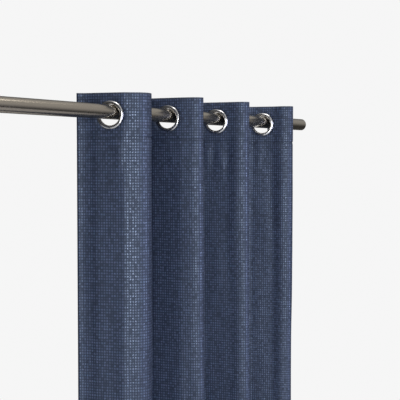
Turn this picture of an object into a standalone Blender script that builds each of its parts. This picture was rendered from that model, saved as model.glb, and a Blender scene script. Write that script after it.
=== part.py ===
"""A pair of eyelet curtains hanging from a round pole.

The eyelets are threaded on the pole, so each cloth swings to the room side and back between
them. +X runs along the pole, -Y is the room side and +Z is up. The origin is the middle of
the pole's axis. Lengths are in metres.
"""

import math
from collections import namedtuple

import bmesh
import bpy
from mathutils import Matrix, Vector

MM = 0.001
GAP = 0.3 * MM

POLE_RADIUS = 14 * MM
POLE_LENGTH = 1920 * MM
POLE_END_CHAMFER = 1.5 * MM
POLE_SIDES = 32

RING_SIDES = 16
RING_HOLE_RADIUS = 20.25 * MM
RING_BARREL_RADIUS = 23.2 * MM
RING_CROWN_RADIUS = 22.8 * MM
RING_OUTER_RADIUS = 26.6 * MM
RING_BARREL_HALF = 2.1 * MM
RING_CROWN_HALF = 3.3 * MM

HEADING_THICKNESS = 2.4 * MM
HEADING_DEPTH = 85 * MM
PANEL_THICKNESS = 1.6 * MM
DROP = 1370 * MM
TOP_ABOVE_EYELET = 42 * MM
EYELET_SPACING_FLAT = 148 * MM
EYELET_STRAIGHT_HALF = 28 * MM
FLAP_RUN = 40 * MM

# A ring's straight sides, not its corners, clear the top of the pole.
FLAT_SIDE = math.cos(math.pi / RING_SIDES)
EYELET_Z = POLE_RADIUS + GAP - RING_HOLE_RADIUS * FLAT_SIDE
CLOTH_HOLE_RADIUS = RING_BARREL_RADIUS / FLAT_SIDE + GAP
TOP_Z = EYELET_Z + TOP_ABOVE_EYELET
STITCH_Z = TOP_Z - HEADING_DEPTH
HEM_Z = TOP_Z - DROP

# Shares of a quarter wave, from an eyelet (0) to a fold's crest (1).
CREST_STEPS = (0.56, 0.80)
FLAP_STEPS = (0.56, 0.83)
# Shares of the fall from the stitch line (0) to the hem (1).
PANEL_ROWS = (0.0, 0.05, 0.13, 0.24, 0.36, 0.48, 0.60, 0.72, 0.84, 0.93, 1.0)

# One row for each fold between two eyelets, in mm, from the left. Folds 1, 3, 5 and 7 stand
# to the room side, the others to the wall side. spacing is the distance along the pole
# between the fold's eyelets, lean how far its crest lies off the middle between them, and
# hem_shift and hem_lean how much further the fold and its crest have wandered at the hem.
Fold = namedtuple("Fold", "spacing lean hem_shift hem_lean")
RIGHT_FOLDS = (
    Fold(spacing=98, lean=0, hem_shift=-3, hem_lean=2),
    Fold(spacing=64, lean=2, hem_shift=6, hem_lean=-2),
    Fold(spacing=71, lean=0, hem_shift=16, hem_lean=4),
    Fold(spacing=87, lean=-3, hem_shift=13, hem_lean=-3),
    Fold(spacing=67, lean=1, hem_shift=10, hem_lean=2),
    Fold(spacing=108, lean=3, hem_shift=4, hem_lean=-4),
    Fold(spacing=72, lean=-2, hem_shift=-4, hem_lean=3),
)
LEFT_FOLDS = (
    Fold(spacing=78, lean=2, hem_shift=5, hem_lean=-2),
    Fold(spacing=92, lean=-2, hem_shift=-4, hem_lean=3),
    Fold(spacing=86, lean=0, hem_shift=-12, hem_lean=-3),
    Fold(spacing=70, lean=3, hem_shift=-8, hem_lean=2),
    Fold(spacing=95, lean=-1, hem_shift=-14, hem_lean=-4),
    Fold(spacing=74, lean=1, hem_shift=-5, hem_lean=2),
    Fold(spacing=80, lean=-3, hem_shift=4, hem_lean=3),
)
Curtain = namedtuple("Curtain", "name first_eyelet_x folds")
CURTAINS = (
    Curtain("left", -860 * MM, LEFT_FOLDS),
    Curtain("right", 293 * MM, RIGHT_FOLDS),
)


def clear_scene():
    for old in list(bpy.data.objects):
        bpy.data.objects.remove(old, do_unlink=True)


def make_material(name, colour, roughness, metallic):
    material = bpy.data.materials.new(name)
    material.use_nodes = True
    shader = material.node_tree.nodes["Principled BSDF"]
    shader.inputs["Base Color"].default_value = (*colour, 1)
    shader.inputs["Roughness"].default_value = roughness
    shader.inputs["Metallic"].default_value = metallic
    return material


def add_object(name, mesh, material):
    if material.name not in mesh.materials:
        mesh.materials.append(material)
    piece = bpy.data.objects.new(name, mesh)
    bpy.context.collection.objects.link(piece)
    return piece


def mesh_from(bm, name):
    bmesh.ops.recalc_face_normals(bm, faces=bm.faces)
    mesh = bpy.data.meshes.new(name)
    bm.to_mesh(mesh)
    bm.free()
    return mesh


def quarter_length(run, depth, share=1.0, chords=12):
    """The cloth used from an eyelet to a share of the way to a crest this far off."""
    ends = [
        Vector((run * share * i / chords, depth * math.sin(math.pi / 2 * share * i / chords)))
        for i in range(chords + 1)
    ]
    return sum((b - a).length for a, b in zip(ends, ends[1:]))


def crest_depth(run_before, run_after):
    """How far a crest stands off the pole, so that each fold holds the same length of cloth."""
    shallow, deep = 0.0, EYELET_SPACING_FLAT / 2
    for _ in range(30):
        depth = (shallow + deep) / 2
        used = quarter_length(run_before, depth) + quarter_length(run_after, depth)
        if used < EYELET_SPACING_FLAT:
            shallow = depth
        else:
            deep = depth
    return depth


def eyelet_places(curtain, fall):
    """The X at which the cloth crosses under the pole, one for each eyelet."""
    places = [curtain.first_eyelet_x]
    for fold in curtain.folds:
        places.append(places[-1] + fold.spacing * MM)
    shifts = [fold.hem_shift * MM * fall for fold in curtain.folds]
    before, after = [shifts[0], *shifts], [*shifts, shifts[-1]]
    return [x + (a + b) / 2 for x, a, b in zip(places, before, after)]


def fold_crests(curtain, fall):
    """A crest's X and signed Y on each side of each eyelet, the turned-back flaps included."""
    eyelets = eyelet_places(curtain, fall)
    flap_depth = crest_depth(FLAP_RUN, FLAP_RUN)
    crests = [Vector((eyelets[0] - FLAP_RUN, flap_depth))]
    for number, fold in enumerate(curtain.folds):
        start, end = eyelets[number], eyelets[number + 1]
        x = (start + end) / 2 + (fold.lean + fold.hem_lean * fall) * MM
        side = -1 if number % 2 == 0 else 1
        crests.append(Vector((x, side * crest_depth(x - start, end - x))))
    crests.append(Vector((eyelets[-1] + FLAP_RUN, flap_depth)))
    return crests


def eyelet_direction(place, before, after):
    """The way the cloth runs through an eyelet, level with the mean slope of both quarters."""
    run = after.x - before.x
    rise = math.pi / 2 * (after.y - before.y)
    return Vector((run, rise)).normalized()


def along_quarter(place, crest, share):
    return Vector((place + (crest.x - place) * share, crest.y * math.sin(math.pi / 2 * share)))


def cloth_plan(curtain, fall):
    """The cloth's line seen from above, from the left edge to the right one."""
    eyelets = eyelet_places(curtain, fall)
    crests = fold_crests(curtain, fall)
    plan = [along_quarter(eyelets[0], crests[0], share) for share in reversed(FLAP_STEPS)]
    for number, place in enumerate(eyelets):
        before, after = crests[number], crests[number + 1]
        straight = eyelet_direction(place, before, after) * EYELET_STRAIGHT_HALF
        middle = Vector((place, 0))
        if number > 0:
            plan += [along_quarter(place, before, share) for share in reversed(CREST_STEPS)]
        plan += [middle - straight, middle + straight]
        if number < len(eyelets) - 1:
            plan += [along_quarter(place, after, share) for share in CREST_STEPS]
            plan.append(after)
    plan += [along_quarter(eyelets[-1], crests[-1], share) for share in FLAP_STEPS]
    return plan


def cloth_sheet(name, plans, heights):
    """A grid whose rows follow the plans at their heights, from the top down."""
    columns, rows = len(plans[0]), len(plans)
    bm = bmesh.new()
    bmesh.ops.create_grid(bm, x_segments=columns - 1, y_segments=rows - 1, size=0.5)
    for vert in bm.verts:
        column = round((vert.co.x + 0.5) * (columns - 1))
        row = round((0.5 - vert.co.y) * (rows - 1))
        vert.co = (*plans[row][column], heights[row])
    return mesh_from(bm, name)


def thicken(piece, thickness):
    solidify = piece.modifiers.new("Thickness", "SOLIDIFY")
    solidify.thickness = thickness
    solidify.offset = 0
    solidify.use_even_offset = True


def make_panel(curtain, cloth):
    plans = [cloth_plan(curtain, fall) for fall in PANEL_ROWS]
    top = STITCH_Z - GAP
    heights = [top + (HEM_Z - top) * fall for fall in PANEL_ROWS]
    name = f"{curtain.name}_curtain_panel"
    panel = add_object(name, cloth_sheet(name, plans, heights), cloth)
    panel.data.shade_smooth()
    thicken(panel, PANEL_THICKNESS)


def ring_matrices(curtain):
    """Each eyelet's place, with the local Z along the cloth's normal."""
    eyelets, crests = eyelet_places(curtain, 0), fold_crests(curtain, 0)
    matrices = []
    for place, before, after in zip(eyelets, crests, crests[1:]):
        way = eyelet_direction(place, before, after)
        turn = math.atan2(way.y, way.x)
        upright = Matrix.Rotation(turn, 4, "Z") @ Matrix.Rotation(math.pi / 2, 4, "X")
        matrices.append(Matrix.Translation((place, 0, EYELET_Z)) @ upright)
    return matrices


def hole_cutter(curtain):
    bm = bmesh.new()
    for matrix in ring_matrices(curtain):
        bmesh.ops.create_cone(
            bm,
            cap_ends=True,
            segments=RING_SIDES,
            radius1=CLOTH_HOLE_RADIUS,
            radius2=CLOTH_HOLE_RADIUS,
            depth=4 * HEADING_THICKNESS,
            matrix=matrix,
        )
    cutter = bpy.data.objects.new(f"{curtain.name}_hole_cutter", mesh_from(bm, "cutter"))
    bpy.context.collection.objects.link(cutter)
    cutter.hide_render = True
    cutter.display_type = "WIRE"
    return cutter


def make_heading(curtain, cloth):
    plan = cloth_plan(curtain, 0)
    name = f"{curtain.name}_curtain_heading"
    heading = add_object(name, cloth_sheet(name, [plan, plan], [TOP_Z, STITCH_Z]), cloth)
    thicken(heading, HEADING_THICKNESS)
    holes = heading.modifiers.new("Eyelet holes", "BOOLEAN")
    holes.operation = "DIFFERENCE"
    holes.solver = "EXACT"
    holes.object = hole_cutter(curtain)


def ring_mesh():
    """A snap ring: a barrel through the cloth between two sloping flanges."""
    groove = HEADING_THICKNESS / 2 + GAP
    one_side = (
        (RING_HOLE_RADIUS, RING_BARREL_HALF),
        (RING_CROWN_RADIUS, RING_CROWN_HALF),
        (RING_OUTER_RADIUS, groove),
        (RING_BARREL_RADIUS, groove),
    )
    profile = [*one_side, *((radius, -height) for radius, height in reversed(one_side))]
    bm = bmesh.new()
    corners = [bm.verts.new((radius, 0, height)) for radius, height in profile]
    edges = [bm.edges.new(pair) for pair in zip(corners, corners[1:] + corners[:1])]
    bmesh.ops.spin(
        bm,
        geom=[*corners, *edges],
        cent=(0, 0, 0),
        axis=(0, 0, 1),
        angle=2 * math.pi,
        steps=RING_SIDES,
        use_merge=True,
    )
    mesh = mesh_from(bm, "eyelet_ring")
    mesh.shade_smooth()
    mesh.set_sharp_from_angle(angle=math.radians(40))
    return mesh


def make_rings(curtain, mesh, metal):
    for number, matrix in enumerate(ring_matrices(curtain), start=1):
        ring = add_object(f"{curtain.name}_eyelet_ring_{number}", mesh, metal)
        ring.matrix_world = matrix


def make_pole(metal):
    bm = bmesh.new()
    bmesh.ops.create_cone(
        bm,
        cap_ends=True,
        segments=POLE_SIDES,
        radius1=POLE_RADIUS,
        radius2=POLE_RADIUS,
        depth=POLE_LENGTH,
        matrix=Matrix.Rotation(math.pi / 2, 4, "Y"),
    )
    rims = [edge for edge in bm.edges if abs(edge.verts[0].co.x - edge.verts[1].co.x) < GAP]
    bmesh.ops.bevel(
        bm,
        geom=rims,
        offset=POLE_END_CHAMFER,
        offset_type="OFFSET",
        segments=1,
        profile=0.5,
        affect="EDGES",
        material=-1,
    )
    pole = add_object("curtain_pole", mesh_from(bm, "curtain_pole"), metal)
    pole.data.shade_smooth()
    pole.data.set_sharp_from_angle(angle=math.radians(40))


def main():
    clear_scene()
    cloth = make_material("navy_cloth", colour=(0.035, 0.046, 0.082), roughness=0.55, metallic=0.0)
    nickel = make_material("nickel", colour=(0.62, 0.61, 0.60), roughness=0.15, metallic=1.0)
    bronze = make_material("dark_bronze", colour=(0.10, 0.085, 0.075), roughness=0.3, metallic=1.0)
    make_pole(bronze)
    ring = ring_mesh()
    for curtain in CURTAINS:
        make_heading(curtain, cloth)
        make_panel(curtain, cloth)
        make_rings(curtain, ring, nickel)


main()
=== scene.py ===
"""Looks for the pair of eyelet curtains: cloth, rings, pole, studio light and camera."""

import math
from collections import namedtuple

import bmesh
import bpy
from mathutils import Matrix, Vector, noise


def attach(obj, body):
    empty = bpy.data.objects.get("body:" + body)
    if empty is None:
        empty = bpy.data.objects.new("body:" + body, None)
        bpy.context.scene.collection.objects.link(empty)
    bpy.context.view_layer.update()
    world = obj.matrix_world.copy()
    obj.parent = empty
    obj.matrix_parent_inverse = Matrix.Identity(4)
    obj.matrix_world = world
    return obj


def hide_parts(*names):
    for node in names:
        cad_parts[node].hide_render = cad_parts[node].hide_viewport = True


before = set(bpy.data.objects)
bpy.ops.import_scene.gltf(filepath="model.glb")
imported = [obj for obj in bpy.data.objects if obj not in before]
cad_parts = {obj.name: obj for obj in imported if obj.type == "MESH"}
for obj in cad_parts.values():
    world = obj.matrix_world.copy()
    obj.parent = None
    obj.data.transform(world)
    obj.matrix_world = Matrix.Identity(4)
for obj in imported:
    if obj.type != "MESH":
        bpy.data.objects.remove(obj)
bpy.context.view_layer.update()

MM = 0.001
GAP = 0.3 * MM

# Sizes shared with the solids.
POLE_RADIUS = 14 * MM
POLE_HALF = 960 * MM
POLE_END_ROUNDING = 1.5 * MM
RING_SIDES = 16
RING_HOLE_RADIUS = 20.25 * MM
RING_BARREL_RADIUS = 23.2 * MM
RING_OUTER_RADIUS = 26.6 * MM
RING_CROWN_HALF = 3.3 * MM
HEADING_THICKNESS = 2.4 * MM
HEADING_DEPTH = 85 * MM
DROP = 1370 * MM
TOP_ABOVE_EYELET = 42 * MM
EYELET_SPACING_FLAT = 148 * MM
SIDE_FLAP_FLAT = 67 * MM
EYELET_STRAIGHT_HALF = 28 * MM
FLAP_RUN = 40 * MM
FLAT_SIDE = math.cos(math.pi / RING_SIDES)
EYELET_Z = POLE_RADIUS + GAP - RING_HOLE_RADIUS * FLAT_SIDE
TOP_Z = EYELET_Z + TOP_ABOVE_EYELET
EYELET_COUNT = 8
FLAT_WIDTH = 2 * SIDE_FLAP_FLAT + (EYELET_COUNT - 1) * EYELET_SPACING_FLAT

POLE_STEPS = 96
RING_STEPS = 72

# The cloth's own sizes.
PANEL_SHARE = 0.62
HEM_DEPTH = 80 * MM
SIDE_HEM = 28 * MM
CLOTH_HOLE_RADIUS = 24 * MM
COLUMN_STEP = 5 * MM
WEAVE_ACROSS = 5.1 * MM
WEAVE_DOWN = 5.4 * MM
# The share of an eyelet's straight that stays flat under the ring.
FLAT_SHARE = 0.97
QUARTER_CHORDS = 12
ROUNDINGS = 2

# How far apart the cloth's rows are near the seams, at the heading and hem, in the part
# below the heading, and in the rest, and where these parts end.
SEAM_ROW_STEP = 1.5 * MM
CLOSE_ROW_STEP = 5 * MM
MIDDLE_ROW_STEP = 9 * MM
WIDE_ROW_STEP = 15 * MM
SEAM_ROWS_HALF = 8 * MM
CLOSE_ROWS_END = 200 * MM
MIDDLE_ROWS_END = 620 * MM
CLOSE_ABOVE_HEM = 20 * MM
LAST_ROW_GAP = 2 * MM

# Dips along the heading's stitching, the hem's and the side hems', depths in mm.
Dip = namedtuple("Dip", "depth half_width")
HEADING_DIP = Dip(depth=1.1, half_width=2.6 * MM)
HEM_DIP = Dip(depth=0.7, half_width=3.5 * MM)
SIDE_DIP = Dip(depth=0.6, half_width=3.5 * MM)

# Puckers under the heading's stitching, heights in mm.
Pucker = namedtuple("Pucker", "height length phase")
PUCKERS = (
    Pucker(height=0.45, length=11 * MM, phase=0),
    Pucker(height=0.3, length=6.3 * MM, phase=1.7),
)
PUCKERS_DOWN = 10 * MM
PUCKERS_HALF = 16 * MM

# Slow and fine unevenness of the hanging cloth: height in mm, size across and down.
Unevenness = namedtuple("Unevenness", "height across down seed")
SLOW = Unevenness(height=2.2, across=75 * MM, down=420 * MM, seed=0)
FINE = Unevenness(height=0.7, across=26 * MM, down=120 * MM, seed=7)
FREE_OVER = 250 * MM

# Finer shares of a quarter wave than the solids have, at the same places.
CREST_STEPS = (0.48, 0.56, 0.64, 0.72, 0.80, 0.87, 0.94)
FLAP_STEPS = (0.48, 0.56, 0.65, 0.74, 0.83)

# The folds as the solids have them, in mm, from the left.
Fold = namedtuple("Fold", "spacing lean hem_shift hem_lean")
RIGHT_FOLDS = (
    Fold(spacing=98, lean=0, hem_shift=-3, hem_lean=2),
    Fold(spacing=64, lean=2, hem_shift=6, hem_lean=-2),
    Fold(spacing=71, lean=0, hem_shift=16, hem_lean=4),
    Fold(spacing=87, lean=-3, hem_shift=13, hem_lean=-3),
    Fold(spacing=67, lean=1, hem_shift=10, hem_lean=2),
    Fold(spacing=108, lean=3, hem_shift=4, hem_lean=-4),
    Fold(spacing=72, lean=-2, hem_shift=-4, hem_lean=3),
)
LEFT_FOLDS = (
    Fold(spacing=78, lean=2, hem_shift=5, hem_lean=-2),
    Fold(spacing=92, lean=-2, hem_shift=-4, hem_lean=3),
    Fold(spacing=86, lean=0, hem_shift=-12, hem_lean=-3),
    Fold(spacing=70, lean=3, hem_shift=-8, hem_lean=2),
    Fold(spacing=95, lean=-1, hem_shift=-14, hem_lean=-4),
    Fold(spacing=74, lean=1, hem_shift=-5, hem_lean=2),
    Fold(spacing=80, lean=-3, hem_shift=4, hem_lean=3),
)
Curtain = namedtuple("Curtain", "name first_eyelet_x folds seed")
CURTAINS = (
    Curtain("left", -860 * MM, LEFT_FOLDS, seed=3.0),
    Curtain("right", 293 * MM, RIGHT_FOLDS, seed=0.0),
)

# Soft creases, in mm: across and down from the cloth's top left corner to a crease's
# middle, its half length and half width, its depth, and how far it slants over half its
# length. A crease ends at this many half lengths from its middle.
CREASE_REACH = 2.2
Crease = namedtuple("Crease", "across down half_length half_width depth slant")
CREASES = (
    Crease(across=84, down=118, half_length=24, half_width=5, depth=1.0, slant=2),
    Crease(across=97, down=124, half_length=30, half_width=6, depth=-1.2, slant=-2),
    Crease(across=372, down=122, half_length=26, half_width=6, depth=0.8, slant=2),
    Crease(across=640, down=116, half_length=22, half_width=5, depth=1.0, slant=2),
    Crease(across=653, down=124, half_length=30, half_width=6, depth=-1.3, slant=-2),
    Crease(across=670, down=120, half_length=26, half_width=5, depth=1.1, slant=3),
    Crease(across=686, down=132, half_length=36, half_width=6, depth=-1.2, slant=-3),
    Crease(across=948, down=122, half_length=28, half_width=6, depth=0.9, slant=-2),
    Crease(across=700, down=250, half_length=95, half_width=11, depth=0.9, slant=-5),
    Crease(across=978, down=210, half_length=85, half_width=10, depth=-0.8, slant=5),
    Crease(across=120, down=560, half_length=240, half_width=16, depth=1.3, slant=10),
    Crease(across=420, down=690, half_length=280, half_width=18, depth=-1.4, slant=-12),
    Crease(across=735, down=810, half_length=260, half_width=17, depth=1.3, slant=12),
    Crease(across=1010, down=740, half_length=300, half_width=18, depth=-1.2, slant=-10),
)


def quarter_length(run, depth):
    """The cloth used from an eyelet to a crest this far off."""
    ends = [
        Vector((run * i / QUARTER_CHORDS, depth * math.sin(math.pi / 2 * i / QUARTER_CHORDS)))
        for i in range(QUARTER_CHORDS + 1)
    ]
    return sum((b - a).length for a, b in zip(ends, ends[1:]))


def crest_depth(run_before, run_after):
    """How far a crest stands off the pole, so that each fold holds the same length of cloth."""
    shallow, deep = 0.0, EYELET_SPACING_FLAT / 2
    for _ in range(30):
        depth = (shallow + deep) / 2
        used = quarter_length(run_before, depth) + quarter_length(run_after, depth)
        if used < EYELET_SPACING_FLAT:
            shallow = depth
        else:
            deep = depth
    return depth


def eyelet_places(curtain, fall):
    """The X at which the cloth crosses under the pole, one for each eyelet."""
    places = [curtain.first_eyelet_x]
    for fold in curtain.folds:
        places.append(places[-1] + fold.spacing * MM)
    shifts = [fold.hem_shift * MM * fall for fold in curtain.folds]
    before, after = [shifts[0], *shifts], [*shifts, shifts[-1]]
    return [x + (a + b) / 2 for x, a, b in zip(places, before, after)]


def fold_crests(curtain, fall):
    """A crest's X and signed Y on each side of each eyelet, the turned-back flaps included."""
    eyelets = eyelet_places(curtain, fall)
    flap_depth = crest_depth(FLAP_RUN, FLAP_RUN)
    crests = [Vector((eyelets[0] - FLAP_RUN, flap_depth))]
    for number, fold in enumerate(curtain.folds):
        start, end = eyelets[number], eyelets[number + 1]
        x = (start + end) / 2 + (fold.lean + fold.hem_lean * fall) * MM
        side = -1 if number % 2 == 0 else 1
        crests.append(Vector((x, side * crest_depth(x - start, end - x))))
    crests.append(Vector((eyelets[-1] + FLAP_RUN, flap_depth)))
    return crests


def eyelet_direction(before, after):
    """The way the cloth runs through an eyelet, level with the mean slope of both quarters."""
    return Vector((after.x - before.x, math.pi / 2 * (after.y - before.y))).normalized()


def along_quarter(place, crest, share):
    return Vector((place + (crest.x - place) * share, crest.y * math.sin(math.pi / 2 * share)))


def cloth_stretches(curtain, fall):
    """The cloth's line from above in stretches that end at the eyelets' middles."""
    eyelets = eyelet_places(curtain, fall)
    crests = fold_crests(curtain, fall)
    stretches = []
    stretch = [along_quarter(eyelets[0], crests[0], share) for share in reversed(FLAP_STEPS)]
    for number, place in enumerate(eyelets):
        before, after = crests[number], crests[number + 1]
        straight = eyelet_direction(before, after) * EYELET_STRAIGHT_HALF
        middle = Vector((place, 0))
        if number > 0:
            stretch += [along_quarter(place, before, share) for share in reversed(CREST_STEPS)]
        stretch += [middle - straight, middle - straight * FLAT_SHARE, middle]
        stretches.append(stretch)
        steps = CREST_STEPS if number < len(eyelets) - 1 else FLAP_STEPS
        stretch = [middle, middle + straight * FLAT_SHARE, middle + straight]
        stretch += [along_quarter(place, after, share) for share in steps]
        if number < len(eyelets) - 1:
            stretch.append(after)
    stretches.append(stretch)
    return stretches


def rounded(line):
    """The line with its corners cut, its ends kept."""
    for _ in range(ROUNDINGS):
        cut = [line[0]]
        for a, b in zip(line, line[1:]):
            cut += [a.lerp(b, 0.25), a.lerp(b, 0.75)]
        line = [*cut, line[-1]]
    return line


def point_along(line, share):
    """The point at a share of the line's length, and the line's normal there, to the wall."""
    lengths = [(b - a).length for a, b in zip(line, line[1:])]
    left = min(max(share, 0.0), 1.0) * sum(lengths)
    for (a, b), length in zip(zip(line, line[1:]), lengths):
        if left <= length or b is line[-1]:
            way = (b - a).normalized()
            return a.lerp(b, min(left / max(length, 1e-9), 1.0)), Vector((-way.y, way.x))
        left -= length


def cloth_row(curtain, fall, acrosses):
    """A point and a normal in plan for each distance across the flat cloth."""
    lines = [rounded(line) for line in cloth_stretches(curtain, fall)]
    row = []
    for across in acrosses:
        past = (across - SIDE_FLAP_FLAT) / EYELET_SPACING_FLAT
        number = min(max(math.floor(past) + 1, 0), EYELET_COUNT)
        if number == 0:
            share = across / SIDE_FLAP_FLAT
        elif number == EYELET_COUNT:
            share = (across - SIDE_FLAP_FLAT - (EYELET_COUNT - 1) * EYELET_SPACING_FLAT) / SIDE_FLAP_FLAT
        else:
            share = past - (number - 1)
        row.append(point_along(lines[number], share))
    return row


def bell(distance, half_width):
    return math.exp(-((distance / half_width) ** 2))


def crease_relief(across, down):
    """How far the soft creases move the cloth along its normal."""
    relief = 0.0
    for crease in CREASES:
        along = (down / MM - crease.down) / crease.half_length
        if abs(along) < CREASE_REACH:
            off = across / MM - crease.across - crease.slant * along
            relief += crease.depth * bell(off, crease.half_width) * bell(along, 1)
    return relief * MM


def seam_relief(across, down):
    """The dips along the heading's stitching, the hem's and the side hems', with their puckers."""
    under = down - HEADING_DEPTH
    pucker = sum(wave.height * math.sin(across / wave.length + wave.phase) for wave in PUCKERS)
    relief = pucker * bell(under - PUCKERS_DOWN, PUCKERS_HALF)
    relief -= HEADING_DIP.depth * bell(under, HEADING_DIP.half_width)
    relief -= HEM_DIP.depth * bell(down - (DROP - HEM_DEPTH), HEM_DIP.half_width)
    side = min(across, FLAT_WIDTH - across)
    relief -= SIDE_DIP.depth * bell(side - SIDE_HEM, SIDE_DIP.half_width)
    return relief * MM


def soft_relief(curtain, across, down):
    """The slow unevenness of hanging cloth, still at the eyelets and free further down."""
    free = min(max((down - HEADING_DEPTH) / FREE_OVER, 0.0), 1.0)
    relief = 0.0
    for part in (SLOW, FINE):
        spot = Vector((across / part.across, down / part.down, curtain.seed + part.seed))
        relief += part.height * noise.noise(spot)
    return relief * MM * free


def row_heights():
    """Distances down the cloth, closer together at the heading and the hem."""
    downs, down = [], 0.0
    while down < DROP - LAST_ROW_GAP:
        downs.append(down)
        if min(abs(down - HEADING_DEPTH), abs(down - DROP + HEM_DEPTH)) < SEAM_ROWS_HALF:
            down += SEAM_ROW_STEP
        elif down < CLOSE_ROWS_END or down > DROP - HEM_DEPTH - CLOSE_ABOVE_HEM:
            down += CLOSE_ROW_STEP
        else:
            down += MIDDLE_ROW_STEP if down < MIDDLE_ROWS_END else WIDE_ROW_STEP
    return [*downs, DROP]


def cut_eyelet_holes(bm):
    """Opens each eyelet in the flat cloth and sets the hole's edge on its circle."""
    for number in range(EYELET_COUNT):
        middle = Vector((SIDE_FLAP_FLAT + number * EYELET_SPACING_FLAT, -TOP_ABOVE_EYELET, 0))
        inner = {vert for vert in bm.verts if (vert.co - middle).length < CLOTH_HOLE_RADIUS}
        faces = {face for vert in inner for face in vert.link_faces}
        rim = {vert for face in faces for vert in face.verts} - inner
        bmesh.ops.delete(bm, geom=list(faces), context="FACES")
        for vert in rim:
            vert.co = middle + (vert.co - middle).normalized() * CLOTH_HOLE_RADIUS


def flat_cloth(downs):
    """The cloth laid flat: X across from its left edge, Y down from its top as a negative."""
    columns = round(FLAT_WIDTH / COLUMN_STEP)
    bm = bmesh.new()
    bmesh.ops.create_grid(bm, x_segments=columns, y_segments=len(downs) - 1, size=0.5)
    for vert in bm.verts:
        row = round((0.5 - vert.co.y) * (len(downs) - 1))
        vert.co = ((vert.co.x + 0.5) * FLAT_WIDTH, -downs[row], 0)
    cut_eyelet_holes(bm)
    return bm


def add_cloth_coordinates(bm):
    """A UV map that is the flat cloth's own width and length."""
    layer = bm.loops.layers.uv.new("cloth")
    for face in bm.faces:
        for loop in face.loops:
            flat = loop.vert.co
            loop[layer].uv = (flat.x / FLAT_WIDTH, 1 + flat.y / DROP)


def hang(bm, curtain):
    """Moves the flat cloth's points to where it hangs, with its creases and seams."""
    rows = {}
    for vert in bm.verts:
        rows.setdefault(round(-vert.co.y / MM, 3), []).append(vert)
    for verts in rows.values():
        down = -verts[0].co.y
        fall = min(max((down - HEADING_DEPTH) / (DROP - HEADING_DEPTH), 0.0), 1.0)
        acrosses = [vert.co.x for vert in verts]
        for vert, across, (place, normal) in zip(verts, acrosses, cloth_row(curtain, fall, acrosses)):
            relief = crease_relief(across, down) + seam_relief(across, down)
            relief += soft_relief(curtain, across, down)
            spot = place - normal * relief
            vert.co = (spot.x, spot.y, TOP_Z - down)


def thickness_share(flat):
    """Two layers at the heading and the hems, one between them."""
    down, side = -flat.y, min(flat.x, FLAT_WIDTH - flat.x)
    double = 1.0 if down < HEADING_DEPTH or down > DROP - HEM_DEPTH or side < SIDE_HEM else 0.0
    return PANEL_SHARE + (1 - PANEL_SHARE) * double


def finished(piece, bm, smooth_angle=None):
    bmesh.ops.recalc_face_normals(bm, faces=bm.faces)
    bm.to_mesh(piece.data)
    bm.free()
    piece.data.shade_smooth()
    if smooth_angle:
        piece.data.set_sharp_from_angle(angle=math.radians(smooth_angle))
    return piece


def new_piece(name, look):
    piece = bpy.data.objects.new(name, bpy.data.meshes.new(name))
    bpy.context.collection.objects.link(piece)
    piece.data.materials.append(look)
    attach(piece, "root")
    return piece


def make_cloth(curtain, look, rings):
    cloth = new_piece(f"{curtain.name}_curtain_cloth", look)
    bm = flat_cloth(row_heights())
    add_cloth_coordinates(bm)
    bm.verts.index_update()
    shares = [thickness_share(vert.co) for vert in bm.verts]
    hang(bm, curtain)
    finished(cloth, bm)
    layers = cloth.vertex_groups.new(name="layers")
    for index, share in enumerate(shares):
        layers.add([index], share, "REPLACE")
    thicken = cloth.modifiers.new("Thickness", "SOLIDIFY")
    thicken.thickness = HEADING_THICKNESS
    thicken.offset = 0
    thicken.vertex_group = "layers"
    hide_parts(f"{curtain.name}_curtain_heading", f"{curtain.name}_curtain_panel")
    return cloth


def ring_profile():
    """Radius and height of one half of the ring, from the barrel's middle to the cloth."""
    groove = HEADING_THICKNESS / 2 + GAP
    crown = RING_CROWN_HALF
    hole, outer = RING_HOLE_RADIUS, RING_OUTER_RADIUS
    return (
        (hole, 0),
        (hole, 1.5 * MM),
        (hole + 0.3 * MM, 2.4 * MM),
        (hole + 1.0 * MM, 3.0 * MM),
        (hole + 2.1 * MM, crown),
        (hole + 3.4 * MM, crown - 0.1 * MM),
        (hole + 4.6 * MM, crown - 0.4 * MM),
        (hole + 5.6 * MM, crown - 0.9 * MM),
        (outer, groove + 0.2 * MM),
        (outer - 0.3 * MM, groove),
        (RING_BARREL_RADIUS, groove),
    )


def make_ring(name, node, matrix, look):
    ring = new_piece(name, look)
    half = ring_profile()
    profile = [*half, *((radius, -height) for radius, height in reversed(half[1:]))]
    bm = bmesh.new()
    corners = [bm.verts.new((radius, 0, height)) for radius, height in profile]
    edges = [bm.edges.new(pair) for pair in zip(corners, corners[1:] + corners[:1])]
    bmesh.ops.spin(
        bm,
        geom=[*corners, *edges],
        cent=(0, 0, 0),
        axis=(0, 0, 1),
        angle=2 * math.pi,
        steps=RING_STEPS,
        use_merge=True,
    )
    bmesh.ops.transform(bm, matrix=matrix, verts=bm.verts)
    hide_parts(node)
    return finished(ring, bm, smooth_angle=50)


def make_rings(curtain, look):
    eyelets, crests = eyelet_places(curtain, 0), fold_crests(curtain, 0)
    rings = []
    for number, place in enumerate(eyelets, start=1):
        way = eyelet_direction(crests[number - 1], crests[number])
        turn = Matrix.Rotation(math.atan2(way.y, way.x), 4, "Z")
        upright = Matrix.Rotation(math.pi / 2, 4, "X")
        matrix = Matrix.Translation((place, 0, EYELET_Z)) @ turn @ upright
        node = f"{curtain.name}_eyelet_ring_{number}"
        rings.append(make_ring(f"{node}_polished", node, matrix, look))
    return rings


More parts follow.
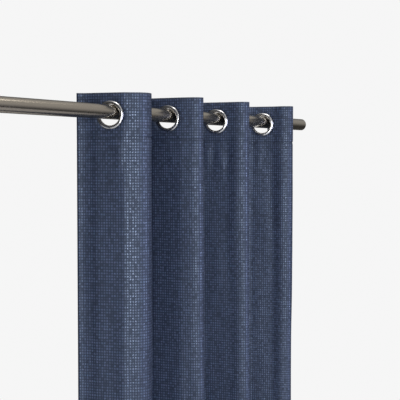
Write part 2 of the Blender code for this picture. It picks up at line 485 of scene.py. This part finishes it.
def make_pole(look):
    pole = new_piece("pole_rod", look)
    bm = bmesh.new()
    bmesh.ops.create_cone(
        bm,
        cap_ends=True,
        segments=POLE_STEPS,
        radius1=POLE_RADIUS,
        radius2=POLE_RADIUS,
        depth=2 * POLE_HALF,
        matrix=Matrix.Rotation(math.pi / 2, 4, "Y"),
    )
    rims = [edge for edge in bm.edges if abs(edge.verts[0].co.x - edge.verts[1].co.x) < GAP]
    bmesh.ops.bevel(
        bm,
        geom=rims,
        offset=POLE_END_ROUNDING,
        offset_type="OFFSET",
        segments=4,
        profile=0.5,
        affect="EDGES",
        material=-1,
    )
    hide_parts("curtain_pole")
    return finished(pole, bm, smooth_angle=35)


class Amount:
    """A socket in arithmetic: each operator adds its Math node to the socket's tree."""

    def __init__(self, tree, socket):
        self.tree, self.socket = tree, socket

    def math(self, operation, *others):
        return self.tree.arithmetic(operation, self, *others)

    def __add__(self, other):
        return self.math("ADD", other)

    def __sub__(self, other):
        return self.math("SUBTRACT", other)

    def __rsub__(self, other):
        return self.tree.arithmetic("SUBTRACT", other, self)

    def __mul__(self, other):
        return self.math("MULTIPLY", other)

    def __pow__(self, other):
        return self.math("POWER", other)


class Tree:
    """A node tree in which every node is made and fed the same way."""

    def __init__(self, nodes_and_links):
        self.tree = nodes_and_links

    def node(self, kind, settings=(), sockets=()):
        made = self.tree.nodes.new(kind)
        for setting, value in dict(settings).items():
            setattr(made, setting, value)
        for socket, value in dict(sockets).items():
            self.feed(made.inputs[socket], value)
        return made

    def feed(self, socket, value):
        source = value.socket if isinstance(value, Amount) else value
        if isinstance(source, bpy.types.NodeSocket):
            self.tree.links.new(source, socket)
        else:
            socket.default_value = source

    def output(self, kind, settings=(), sockets=()):
        return Amount(self, self.node(kind, settings, sockets).outputs[0])

    def arithmetic(self, operation, *values):
        return self.output("ShaderNodeMath", {"operation": operation}, dict(enumerate(values)))

    def clouds(self, place, scale, detail=2.0, roughness=0.5):
        values = {"Vector": place, "Scale": scale, "Detail": detail, "Roughness": roughness}
        return self.output("ShaderNodeTexNoise", {}, values)

    def mixed(self, factor, first, second):
        values = {"Factor": factor, 6: first, 7: second}
        return self.node("ShaderNodeMix", {"data_type": "RGBA"}, values).outputs[2]


class Look(Tree):
    """A material with its Principled shader."""

    def __init__(self, name, **constants):
        self.material = bpy.data.materials.new(name)
        self.material.use_nodes = True
        super().__init__(self.material.node_tree)
        self.shader = self.tree.nodes["Principled BSDF"]
        for socket, value in constants.items():
            self.shader.inputs[socket.replace("_", " ")].default_value = value

    def vary(self, socket, value):
        self.feed(self.shader.inputs[socket], value)

    def bump(self, height, distance, strength):
        values = {"Height": height, "Distance": distance, "Strength": strength}
        self.vary("Normal", self.node("ShaderNodeBump", {}, values).outputs[0])


def wave(value):
    """From 0 to 1 and back over each whole number."""
    return (value * (2 * math.pi)).math("COSINE") * 0.5 + 0.5


# The cloth's colours: painted shade in the pits between the raised threads, the threads' two hues, and
# painted shade along the heading's stitching.
PIT_SHADE_COLOUR = (0.003, 0.006, 0.020, 1)
COOL_THREAD = (0.046, 0.086, 0.145, 1)
VIOLET_THREAD = (0.088, 0.092, 0.170, 1)
SEAM_SHADE_COLOUR = (0.004, 0.006, 0.014, 1)
SHEEN_COLOUR = (0.70, 0.82, 1.0, 1)
SEAM_HALF_WIDTH = 1.6 * MM
SEAM_SHADE_STRENGTH = 0.45
THREAD_RELIEF = 0.22 * MM


def raised_threads(look, place, across, down):
    """How high the weave stands, from 0 to 1: a thread's square in each cell, all uneven."""
    drift = look.clouds(place, scale=9.0)
    column = across * (FLAT_WIDTH / WEAVE_ACROSS) + drift * 0.5
    row = down * (DROP / WEAVE_DOWN) + drift * 0.35
    number = {0: (column + 0.5).math("FLOOR"), 1: (row + 0.5).math("FLOOR")}
    cell = look.node("ShaderNodeCombineXYZ", {}, number).outputs[0]
    yarn = look.output("ShaderNodeTexWhiteNoise", {"noise_dimensions": "3D"}, {"Vector": cell})
    patch = look.clouds(place, scale=34.0, detail=4.0, roughness=0.7)
    slubs = look.clouds(place, scale=260.0)
    squares = wave(column) * wave(row) * (yarn * 1.4 + 0.12)
    raised = squares ** 0.7 * (slubs * 0.7 + 0.65) * (patch * 1.1 + 0.45)
    return raised.math("MINIMUM", 1.0)


def cloth_look():
    look = Look("navy_square_weave", Specular_IOR_Level=0.8, Specular_Tint=SHEEN_COLOUR)
    place = look.node("ShaderNodeUVMap", {"uv_map": "cloth"}).outputs[0]
    axes = look.node("ShaderNodeSeparateXYZ", {}, {0: place}).outputs
    across, down = Amount(look, axes[0]), Amount(look, axes[1])
    raised = raised_threads(look, place, across, down)
    # Painted shade: a dark band along the heading's stitching, darkest on its line.
    under = (down - (1 - HEADING_DEPTH / DROP)) * (DROP / SEAM_HALF_WIDTH)
    seam_shade = (under * under * -1).math("EXPONENT") * SEAM_SHADE_STRENGTH
    thread = look.mixed(look.clouds(place, scale=150.0), COOL_THREAD, VIOLET_THREAD)
    # Painted shade and highlight: the pits between the raised threads take a far darker colour than the
    # threads, whose squares stand out lighter in each cell.
    shaded_weave = look.mixed(raised, PIT_SHADE_COLOUR, thread)
    look.vary("Base Color", look.mixed(seam_shade, shaded_weave, SEAM_SHADE_COLOUR))
    look.vary("Roughness", 0.62 - raised * 0.34)
    look.bump(raised, distance=THREAD_RELIEF, strength=0.8)
    return look.material


def nickel_look():
    look = Look("polished_nickel", Metallic=1.0)
    place = look.node("ShaderNodeTexCoord").outputs["Object"]
    haze = look.clouds(place, scale=40.0, detail=3.0)
    look.vary("Base Color", look.mixed(haze, (0.50, 0.50, 0.51, 1), (0.58, 0.57, 0.57, 1)))
    look.vary("Roughness", haze * 0.04 + 0.16)
    return look.material


def bronze_look():
    look = Look("dark_bronze", Metallic=1.0)
    place = look.node("ShaderNodeTexCoord").outputs["Object"]
    along_pole = {"Vector": place, "Scale": (3.0, 40.0, 40.0)}
    drawn = look.node("ShaderNodeMapping", {}, along_pole).outputs[0]
    haze = look.clouds(drawn, scale=3.0, detail=3.0)
    look.vary("Base Color", look.mixed(haze, (0.27, 0.24, 0.20, 1), (0.34, 0.305, 0.255, 1)))
    look.vary("Roughness", haze * 0.06 + 0.2)
    return look.material


def floor_look():
    look = Look("pale_floor", Roughness=0.9)
    haze = look.clouds(look.node("ShaderNodeTexCoord").outputs["Object"], scale=2.0)
    look.vary("Base Color", look.mixed(haze, (0.8, 0.8, 0.8, 1), (0.84, 0.84, 0.84, 1)))
    return look.material


FLOOR_RADIUS = 2.2
FLOOR_BELOW_HEM = 15 * MM


def make_floor():
    bm = bmesh.new()
    bmesh.ops.create_circle(bm, cap_ends=True, segments=96, radius=FLOOR_RADIUS)
    bmesh.ops.translate(bm, verts=bm.verts, vec=(0, 0, TOP_Z - DROP - FLOOR_BELOW_HEM))
    floor = bpy.data.objects.new("floor", bpy.data.meshes.new("floor"))
    bpy.context.collection.objects.link(floor)
    floor.data.materials.append(floor_look())
    finished(floor, bm)


# The camera stands this far to the left of the right curtain's third eyelet, in front of the
# pole and below it, and looks to the right at this angle to the pole.
VIEW_ALONG = 1213 * MM
VIEW_IN_FRONT = 1105 * MM
VIEW_BELOW = 97 * MM
VIEW_ANGLE = math.radians(40)
FRAME_PX = 400
FOCAL_PX = 795
HORIZON_PX = 163
SENSOR_WIDTH_MM = 36


def make_camera():
    data = bpy.data.cameras.new("camera")
    data.sensor_width = SENSOR_WIDTH_MM
    data.lens = FOCAL_PX / FRAME_PX * SENSOR_WIDTH_MM
    data.clip_start = 0.05
    camera = bpy.data.objects.new("camera", data)
    bpy.context.collection.objects.link(camera)
    third_eyelet = eyelet_places(CURTAINS[1], 0)[2]
    camera.location = (third_eyelet - VIEW_ALONG, -VIEW_IN_FRONT, -VIEW_BELOW)
    pitch = math.atan((FRAME_PX / 2 - HORIZON_PX) / FOCAL_PX)
    camera.rotation_euler = (math.pi / 2 - pitch, 0, VIEW_ANGLE - math.pi / 2)
    bpy.context.scene.camera = camera


# The lights, in metres and watts.
Lamp = namedtuple("Lamp", "name place target size power colour")
LAMPS = (
    Lamp("key", (-1.7, -2.0, -0.3), (0.5, 0, -0.3), (0.4, 1.8), 38, (0.93, 0.97, 1.0)),
    Lamp("front", (0.6, -2.8, -0.3), (0.5, 0, -0.3), (0.4, 1.8), 34, (0.70, 0.74, 1.0)),
    Lamp("back", (0.0, 2.6, 0.2), (0, 0, -0.6), (1.8, 1.2), 26, (0.97, 0.98, 1.0)),
    Lamp("top", (0.3, -0.7, 1.6), (0.4, 0, 0), (2.0, 0.5), 16, (1.0, 0.97, 0.93)),
)

# What the camera sees behind the part, and the room that lights it: dim, but bright on one
# side, with a soft edge between two values of the cosine to that side.
BACKDROP = 0.92
ROOM_DIM = 0.09
ROOM_BRIGHT = 0.9
ROOM_BRIGHT_SIDE = (0.3, -0.5, 0.8)
ROOM_EDGE = (0.15, 0.85)


def make_lamp(lamp):
    data = bpy.data.lights.new(lamp.name, "AREA")
    data.shape = "RECTANGLE"
    data.size, data.size_y = lamp.size
    data.energy = lamp.power
    data.color = lamp.colour
    light = bpy.data.objects.new(lamp.name, data)
    bpy.context.collection.objects.link(light)
    light.location = lamp.place
    way = Vector(lamp.target) - Vector(lamp.place)
    light.rotation_euler = way.to_track_quat("-Z", "Y").to_euler()


def make_room():
    world = bpy.data.worlds.new("studio")
    world.use_nodes = True
    studio = Tree(world.node_tree)
    backdrop = studio.tree.nodes["Background"]
    studio.feed(backdrop.inputs["Color"], (BACKDROP, BACKDROP, BACKDROP, 1))
    sides = {
        0: studio.node("ShaderNodeTexCoord").outputs["Generated"],
        1: Vector(ROOM_BRIGHT_SIDE).normalized(),
    }
    cosine = studio.node("ShaderNodeVectorMath", {"operation": "DOT_PRODUCT"}, sides)
    levels = {
        "Value": cosine.outputs["Value"],
        "From Min": ROOM_EDGE[0],
        "From Max": ROOM_EDGE[1],
        "To Min": ROOM_DIM,
        "To Max": ROOM_BRIGHT,
    }
    level = studio.node("ShaderNodeMapRange", {"interpolation_type": "SMOOTHSTEP"}, levels)
    room = studio.node("ShaderNodeBackground", {}, {"Strength": level.outputs[0]})
    seen = studio.node("ShaderNodeLightPath").outputs["Is Camera Ray"]
    shaders = {0: seen, 1: room.outputs[0], 2: backdrop.outputs[0]}
    chosen = studio.node("ShaderNodeMixShader", {}, shaders)
    studio.feed(studio.tree.nodes["World Output"].inputs["Surface"], chosen.outputs[0])
    bpy.context.scene.world = world


bpy.context.scene.view_settings.view_transform = "Standard"
make_camera()
make_room()
for lamp in LAMPS:
    make_lamp(lamp)
make_floor()
cloth_material, ring_material = cloth_look(), nickel_look()
make_pole(bronze_look())
for pair_half in CURTAINS:
    make_cloth(pair_half, cloth_material, make_rings(pair_half, ring_material))
